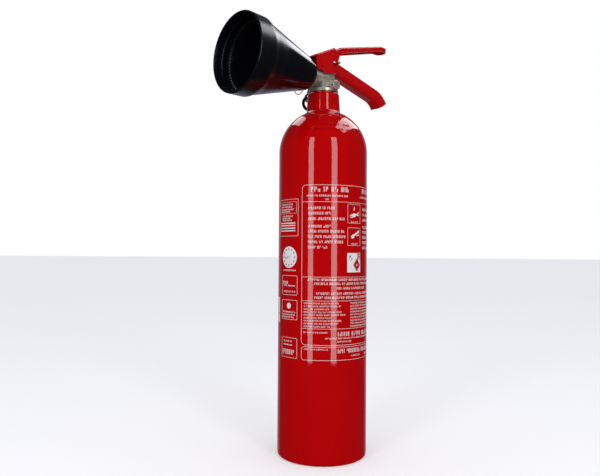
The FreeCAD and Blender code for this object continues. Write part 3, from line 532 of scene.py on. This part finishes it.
# Bare brass and copper: warmer and sharper than the nickel, so the turned pieces stand out from the forging.
brass = surface("machined brass", ("#B89450", "#CBA860"), 5, 0.3, 0.01, (0.22, 0.34), {"Metallic": 1.0})
copper = surface("soft copper washer", ("#A8623F", "#B8714B"), 4, 0.4, 0.01, (0.3, 0.42), {"Metallic": 1.0})
dress(nickel, "valve_body")
dress(nickel, "burst_disc_cap")
dress(copper, "neck_seal_washer", "burst_disc", "burst_disc_washer")
dress(brass, "gland_nut", "spring_retainer", "valve_poppet", "discharge_nozzle")

cast_marks = []
for row, z in enumerate((445.6, 449.4)):
    for x in (-10.6, -8.4, 8.2, 10.4):
        cast_marks.append(((x, -13.3, z), (0.0, 0.0, 0.0), (1.3, 1.0)))
for z in (456.2, 459.4):
    for x in (-4.8, -2.9, -1.0, 1.2, 3.0, 5.0, 7.0):
        cast_marks.append(((x, -8.85, z), (0.0, 0.0, 0.0), (1.2, 1.0)))
set_blocks("valve_cast_marks", cast_marks, 2.1, 0.5, nickel)

# ---- Stem, spring and dip tube ----
# Working pieces inside the valve: a ground stainless stem with a nylon-faced poppet on a steel spring,
# sealed by a rubber ring, and the drawn aluminium tube that reaches down to the liquid.
# Cold bright steel, cream nylon, dull black rubber and pale aluminium tell the inner pieces apart.
steel = surface("ground stainless steel", ("#B4B6BA", "#C6C8CC"), 3, 0.2, 0.005, (0.18, 0.28), {"Metallic": 1.0})
nylon = surface("natural nylon", ("#DAD7CB", "#E4E1D6"), 4, 0.5, 0.01, (0.4, 0.5), {})
rubber = surface("black nitrile rubber", ("#131313", "#1A1A1A"), 3, 0.3, 0.02, (0.55, 0.7), {})
aluminium = surface("drawn aluminium tube", ("#BDBFC2", "#CACCCF"), 6, 0.3, 0.01, (0.28, 0.4), {"Metallic": 1.0})
dress(steel, "valve_stem", "valve_spring")
dress(nylon, "seat_disc")
dress(rubber, "stem_o_ring", "horn_gasket")
dress(aluminium, "dip_tube")

# ---- Horn ----
# One thick moulding of black plastic, screwed on the outlet: a long cone with a rounded shoulder and a
# straight rim band. Inside the mouth is a step ring with moulded ribs. Faint turning marks ring the band.
OUTLET_Z = 458.2
OUTLET_TILT = 2.64
HORN_SIDES = 160
RIB_COUNT = 66
RIB_RING_R = 40.6
RIB_SIZE = (1.3, 0.85, 0.9)
RIB_PLACE = 113.1
TURNING_MM = 1.1

along_outlet = Matrix.Translation((0, 0, OUTLET_Z * MM)) @ Matrix.Rotation(math.radians(OUTLET_TILT - 90), 4, "Y")
outside = [(14.1, 23.8), (14.9, 24.6), (14.9, 27.6), (15.2, 28.0), (17.4, 28.0), (18.4, 28.3), (19.1, 28.9),
           (19.35, 29.7)]
outside += [(19.35 + (42.0 - 19.35) * i / 16, 29.7 + (105.3 - 29.7) * i / 16) for i in range(1, 17)]
shoulder_bend = [(42.9, 107.2), (43.75, 108.9), (44.45, 110.5), (44.95, 111.7), (45.25, 112.5)]
rim = [(45.36, 115.5), (45.46, 119.0), (45.58, 123.0), (45.7, 127.0), (45.85, 131.2), (45.85, 131.9),
       (45.5, 132.45), (45.0, 132.6), (43.9, 132.6), (43.45, 132.4), (43.3, 132.0)]
mouth = [(43.15, 127.0), (43.05, 122.9), (42.95, 122.5), (42.5, 122.2), (42.4, 121.8), (42.3, 118.0), (42.15, 113.5),
         (41.85, 113.0), (40.0, 113.0), (39.65, 112.85), (39.4, 112.2)]
throat = [(39.4 + (18.1 - 39.4) * i / 12, 112.2 + (35.2 - 112.2) * i / 12) for i in range(1, 13)]
hub = [(17.4, 34.3), (16.6, 34.0), (8.05, 34.0), (8.05, 23.8)]
# Moulded plastic: almost black with a tight sheen, so the cone shows one long soft streak.
plastic = surface("semi-gloss black moulded plastic", ("#05060A", "#0A0C12"), 30, 0.9, 0.003, (0.09, 0.15),
                  {"IOR": 1.5, "Specular IOR Level": 0.5})
tree = plastic.node_tree
spot = add(tree, "ShaderNodeTexCoord", {}, {}).outputs["Object"]
straight = add(tree, "ShaderNodeMapping", {"Rotation": (0, math.radians(-OUTLET_TILT), 0)}, {"Vector": spot})
turning = add(tree, "ShaderNodeTexWave", {"bands_direction": "X", "Scale": math.pi / 10 / (TURNING_MM * MM),
                                          "Distortion": 0.4, "Detail": 1.0}, {"Vector": straight.outputs[0]})
fine = next(node for node in tree.nodes if node.bl_idname == "ShaderNodeBump")
shader = tree.nodes["Principled BSDF"]
turned_relief = add(tree, "ShaderNodeBump", {"Distance": 0.006 * MM}, {"Height": turning.outputs["Fac"],
                                                                      "Normal": fine.outputs["Normal"]})
tree.links.new(turned_relief.outputs["Normal"], shader.inputs["Normal"])
along = add(tree, "ShaderNodeSeparateXYZ", {}, {0: straight.outputs[0]})
duller = add(tree, "ShaderNodeMapRange", {"From Min": -0.112, "From Max": -0.102, "To Min": 0.16, "To Max": 0.0},
             {"Value": along.outputs["X"]})
band_shine = add(tree, "ShaderNodeMath", {"operation": "ADD"},
                 {0: shader.inputs["Roughness"].links[0].from_socket, 1: duller.outputs[0]})
tree.links.new(band_shine.outputs[0], shader.inputs["Roughness"])
horn = lathe("discharge_horn", outside + shoulder_bend + rim + mouth + throat + hub, HORN_SIDES, plastic,
             along_outlet)
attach(horn, ROOT)
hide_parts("horn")


def rib_nodes():
    """Node tree that lays short round ribs evenly round a circle, each pointing at its middle."""
    tree = bpy.data.node_groups.new("ribs round a ring", "GeometryNodeTree")
    for name, kind in (("Count", "Int"), ("Ring Radius", "Float"), ("Rib Size", "Vector"), ("Finish", "Material")):
        tree.interface.new_socket(name, in_out="INPUT", socket_type="NodeSocket" + kind)
    tree.interface.new_socket("Geometry", in_out="OUTPUT", socket_type="NodeSocketGeometry")
    given = add(tree, "NodeGroupInput", {}, {}).outputs
    ring = add(tree, "GeometryNodeMeshCircle", {}, {"Vertices": given["Count"], "Radius": given["Ring Radius"]})
    place = add(tree, "GeometryNodeInputPosition", {}, {})
    facing = add(tree, "FunctionNodeAlignRotationToVector", {"axis": "X"}, {"Vector": place.outputs[0]})
    stud = add(tree, "GeometryNodeMeshUVSphere", {"Segments": 10, "Rings": 6, "Radius": 1.0}, {})
    ribs = add(tree, "GeometryNodeInstanceOnPoints", {}, {"Points": ring.outputs["Mesh"],
                                                          "Instance": stud.outputs["Mesh"],
                                                          "Rotation": facing.outputs[0],
                                                          "Scale": given["Rib Size"]})
    real = add(tree, "GeometryNodeRealizeInstances", {}, {"Geometry": ribs.outputs[0]})
    smooth = add(tree, "GeometryNodeSetShadeSmooth", {}, {"Geometry": real.outputs[0]})
    dressed = add(tree, "GeometryNodeSetMaterial", {}, {"Geometry": smooth.outputs[0], "Material": given["Finish"]})
    add(tree, "NodeGroupOutput", {}, {"Geometry": dressed.outputs[0]})
    return tree


rib_tree = rib_nodes()
ribs = bpy.data.objects.new("horn_step_ribs", bpy.data.meshes.new("horn_step_ribs"))
bpy.context.collection.objects.link(ribs)
laid = ribs.modifiers.new("ribs", "NODES")
laid.node_group = rib_tree
# The ribs' rounded tops are painted a dull dark grey as a painted highlight, fading to black on the upper ribs, so
# they show as a row of glinting dots in the dark mouth.
rib_highlight_paint = surface("black plastic painted with rib highlights", ("#565962", "#71747E"), 2, 0.4, 0.01, (0.3, 0.4), {})
tree = rib_highlight_paint.node_tree
height = add(tree, "ShaderNodeSeparateXYZ", {}, {0: add(tree, "ShaderNodeTexCoord", {}, {}).outputs["Object"]})
# Painted highlight: the lower ribs keep the grey and the upper ribs turn black, by height.
highlight_fade = add(tree, "ShaderNodeMapRange", {"From Min": 0.446, "From Max": 0.474}, {"Value": height.outputs["Z"]})
rib_tone_with_highlight = add(tree, "ShaderNodeMix", {"data_type": "RGBA", 7: linear("#0A0C12")},
           {0: highlight_fade.outputs[0], 6: tree.nodes["Principled BSDF"].inputs["Base Color"].links[0].from_socket})
tree.links.new(rib_tone_with_highlight.outputs[2], tree.nodes["Principled BSDF"].inputs["Base Color"])
sizes = {"Count": RIB_COUNT, "Ring Radius": RIB_RING_R * MM, "Rib Size": [side * MM for side in RIB_SIZE],
         "Finish": rib_highlight_paint}
for item in rib_tree.interface.items_tree:
    if item.in_out == "INPUT":
        laid[item.identifier] = sizes[item.name]
ring_mesh = bpy.data.meshes.new_from_object(ribs.evaluated_get(bpy.context.evaluated_depsgraph_get()))
ribs.modifiers.clear()
ring_mesh.transform(along_outlet @ Matrix.Translation((0, 0, RIB_PLACE * MM)))
ring_mesh.set_sharp_from_angle(angle=math.radians(50))
ribs.data = ring_mesh
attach(ribs, ROOT)

# ---- Bracket, carry handle and squeeze lever ----
# Pressed steel sheet, folded, pierced and powder coated in glossy red. The bracket clasps the valve's
# head, the handle is fixed below it, and the lever turns on the pivot pin.
SHEET_EDGE = 0.5

# Powder coat: the enamel's red under a softer gloss, so the folds show broad blurred highlights.
powder = surface("glossy red powder coat", ("#B80205", "#C40508"), 12, 0.9, 0.004, (0.22, 0.32),
                 {"Specular IOR Level": 0.0, "Coat Weight": 1.0, "Coat Roughness": 0.12})
eased("lever_bracket", ROOT, powder, SHEET_EDGE)
eased("carry_handle", ROOT, powder, SHEET_EDGE)
eased("squeeze_lever", "squeeze_lever_body", powder, SHEET_EDGE)
dress(powder, "lever_pivot_pin", "bracket_rivet")

# ---- Safety pin, ring and seal ----
# A bent pin of zinc-plated wire with a black moulded pull ring in its eye. A thin red plastic tie, locked
# by its own catch, is looped round the pin and breaks when it is pulled.
# Zinc is a bluish bright wire, the ring a low-sheen black, and the tie a pinker, lightly glowing red.
zinc = surface("bright zinc-plated wire", ("#A7A6AB", "#BBBAC0"), 3, 0.3, 0.01, (0.2, 0.34), {"Metallic": 1.0})
black_nylon = surface("black moulded nylon", ("#0E0E10", "#151517"), 5, 0.4, 0.015, (0.34, 0.46), {})
tie_plastic = surface("thin red polypropylene", ("#CC2830", "#D83A42"), 4, 0.5, 0.01, (0.3, 0.42),
                      {"Subsurface Weight": 0.15, "Subsurface Scale": 0.001})
dress(zinc, "safety_pin")
dress(black_nylon, "pull_ring")
dress(tie_plastic, "tamper_seal")

# ---- Studio ----
# A plain pale floor, a pale surround, and two tall soft boxes in front that draw the two long
# strips down the cylinder.
CAMERA_PLACE = (-0.5319, -0.5623, 0.2413)
CAMERA_HEADING = -41.35
CAMERA_RISE = 91.54
CAMERA_ROLL = 0.38
LENS = 37.7
VIEW_SIDE = 43.4
BEHIND = (0.661, 0.751, 0.0)
FLOOR_R = 60
FLOOR_SIDES = 360

floor_mesh = bpy.data.meshes.new("studio_floor")
floor_turns = [math.radians(i) for i in range(FLOOR_SIDES)]
floor_edge = [(FLOOR_R * math.cos(a), FLOOR_R * math.sin(a), 0) for a in floor_turns]
floor_mesh.from_pydata(floor_edge, [], [list(range(FLOOR_SIDES))])
floor_piece = bpy.data.objects.new("studio_floor", floor_mesh)
bpy.context.collection.objects.link(floor_piece)
# Matt near-white floor, a little emissive so that it stays pale. It is kept out of reflections and bounced
# light, so the gloss keeps its dark red between the strips.
white_table = surface("pale matt floor", ("#F4F4F4", "#F7F7F7"), 400, 3, 0.01, (0.8, 0.9),
                      {"Specular IOR Level": 0.1, "Emission Color": (1, 1, 1, 1), "Emission Strength": 0.28})
floor_mesh.materials.append(white_table)
floor_piece.visible_glossy = False
floor_piece.visible_diffuse = False

camera = bpy.data.objects.new("camera", bpy.data.cameras.new("camera"))
camera.data.lens = LENS
camera.data.sensor_width = 36
camera.data.clip_start = 0.01
camera.matrix_world = (Matrix.Translation(CAMERA_PLACE)
                       @ Matrix.Rotation(math.radians(CAMERA_HEADING), 4, "Z")
                       @ Matrix.Rotation(math.radians(CAMERA_RISE), 4, "X")
                       @ Matrix.Rotation(math.radians(CAMERA_ROLL), 4, "Z"))
bpy.context.collection.objects.link(camera)
bpy.context.scene.camera = camera


def soft_box(name, place, size, brightness):
    """Soft box right of, toward the camera from and above the object. It faces the cylinder, or the floor."""
    lamp = bpy.data.lights.new(name, "AREA")
    lamp.shape = "RECTANGLE"
    lamp.size, lamp.size_y = size
    lamp.color = (0.95, 0.97, 1.0)
    lamp.energy = brightness * math.pi * size[0] * size[1]
    box = bpy.data.objects.new(name, lamp)
    aimed = Vector((place[0], -place[1], 0.0)) if place[2] < 1 else Vector((0.0, 0.0, 1.0))
    box.matrix_world = (Matrix.Rotation(math.radians(-VIEW_SIDE), 4, "Z")
                        @ Matrix.Translation((place[0], -place[1], place[2]))
                        @ aimed.to_track_quat("Z", "Y").to_matrix().to_4x4())
    box.visible_camera = False
    bpy.context.collection.objects.link(box)
    return box


soft_box("left_strip", (-0.75, 1.31, 0.615), (0.34, 1.49), 4.6)
soft_box("right_strip", (0.73, 1.31, 0.615), (0.38, 1.49), 4.6)
# The ceiling boxes are there to be mirrored in the shoulder and levers, and don't light matt surfaces.
for name, place, size, brightness in (("right_ceiling_box", (0.83, -0.7, 1.46), (0.62, 2.3), 4.4),
                                      ("left_ceiling_box", (-0.7, -0.95, 1.46), (0.42, 1.3), 2.8)):
    soft_box(name, place, size, brightness).visible_diffuse = False

# The surround is white to the eye, lit evenly, and mirrored only from behind, where the backdrop stands.
world = bpy.data.worlds.new("pale surround")
world.use_nodes = True
bpy.context.scene.world = world
tree = world.node_tree
tree.nodes.clear()
path = add(tree, "ShaderNodeLightPath", {}, {})
way = add(tree, "ShaderNodeTexCoord", {}, {}).outputs["Generated"]
behind = add(tree, "ShaderNodeVectorMath", {"operation": "DOT_PRODUCT", 1: BEHIND}, {0: way})
backdrop = add(tree, "ShaderNodeMapRange", {"From Min": 0.7, "From Max": 0.95, "To Min": 0.04, "To Max": 0.5},
               {"Value": behind.outputs["Value"]})
upward = add(tree, "ShaderNodeSeparateXYZ", {}, {0: way})
ceiling = add(tree, "ShaderNodeMapRange", {"From Min": -0.3, "From Max": 0.3, "To Min": 0.48, "To Max": 0.64},
              {"Value": upward.outputs["Z"]})
seen = add(tree, "ShaderNodeBackground", {"Color": (1, 1, 1, 1), "Strength": 1.0}, {})
around = add(tree, "ShaderNodeBackground", {"Color": (0.92, 0.93, 1.0, 1)}, {"Strength": ceiling.outputs[0]})
mirrored = add(tree, "ShaderNodeBackground", {"Color": (0.84, 0.87, 1.0, 1)}, {"Strength": backdrop.outputs[0]})
unseen = add(tree, "ShaderNodeMixShader", {}, {0: path.outputs["Is Glossy Ray"], 1: around.outputs[0],
                                              2: mirrored.outputs[0]})
mixed = add(tree, "ShaderNodeMixShader", {}, {0: path.outputs["Is Camera Ray"], 1: unseen.outputs[0],
                                             2: seen.outputs[0]})
add(tree, "ShaderNodeOutputWorld", {}, {"Surface": mixed.outputs[0]})
bpy.context.scene.view_settings.view_transform = "Standard"
